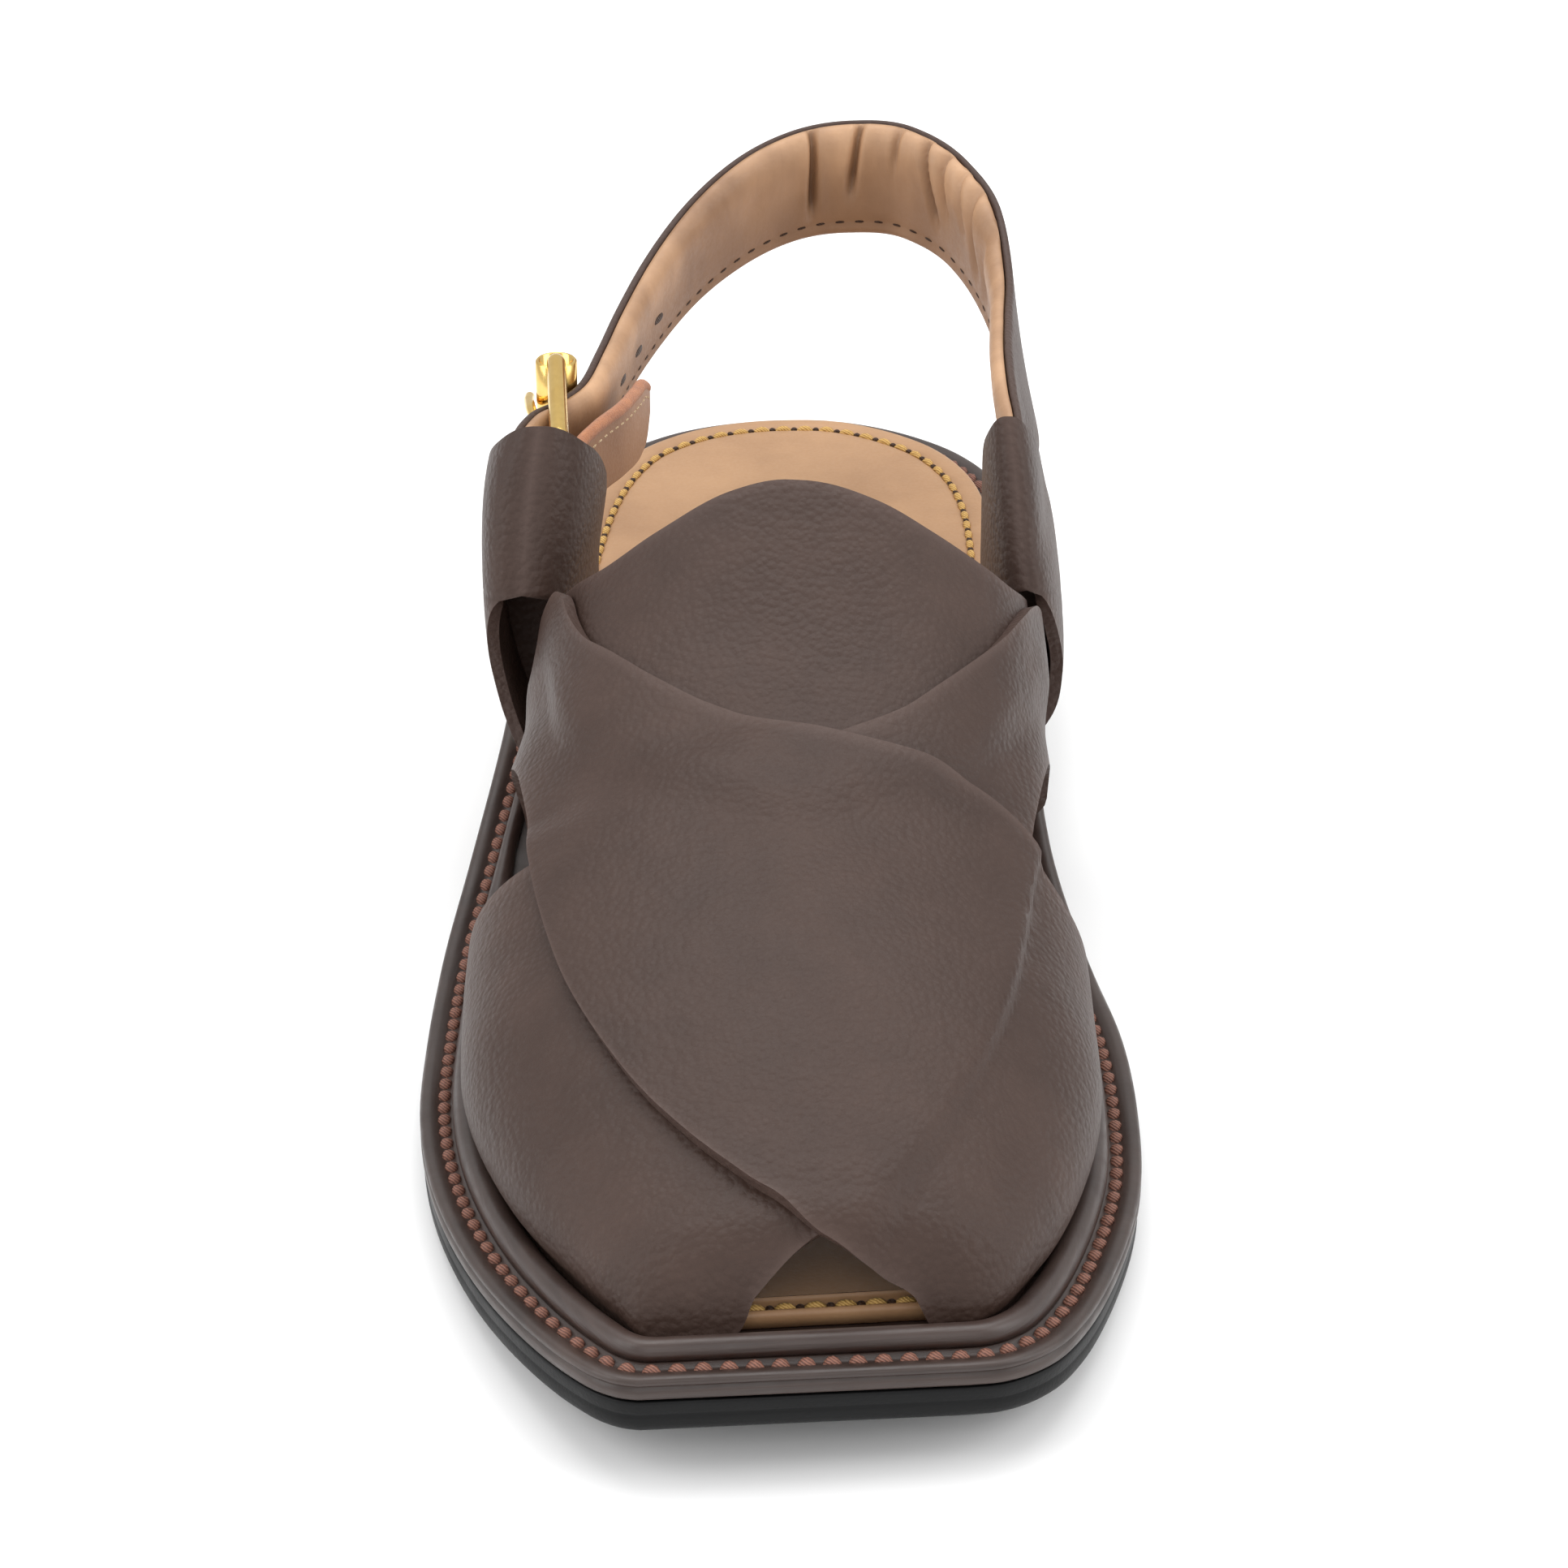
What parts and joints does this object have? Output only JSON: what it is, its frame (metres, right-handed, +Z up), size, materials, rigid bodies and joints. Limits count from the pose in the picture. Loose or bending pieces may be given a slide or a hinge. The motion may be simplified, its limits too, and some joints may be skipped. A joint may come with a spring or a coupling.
{
  "type": "peshawari chappal",
  "caption": "Leather sandal: wide crossed straps over a tongue, raised rim, low block heel, folded side ears and a back strap with a brass roller buckle.",
  "frame": {"origin": "under the middle of the shoe's length and width, on the floor", "axes": "+Z up, +Y towards the heel, +X towards the medial side of this right shoe"},
  "size_m": [0.106, 0.293, 0.0912],
  "materials": {
    "rubber_black": "matte",
    "edge_leather": "dyed and waxed edge, satin",
    "leather_tan": "smooth, satin",
    "leather_brown": "fine grain, matte to satin",
    "brass": "polished"
  },
  "bodies": {
    "root": {"outsole": "rubber_black", "heel_block": "rubber_black", "midsole": "edge_leather", "rand": "edge_leather", "insole": "leather_tan", "upper": "leather_brown", "ear_lateral": "leather_brown", "ear_medial": "leather_brown", "back_strap": "leather_brown", "buckle_frame": "brass", "buckle_roller": "brass", "buckle_prong": "brass", "buckle_flap": "leather_tan"}
  },
  "joints": []
}
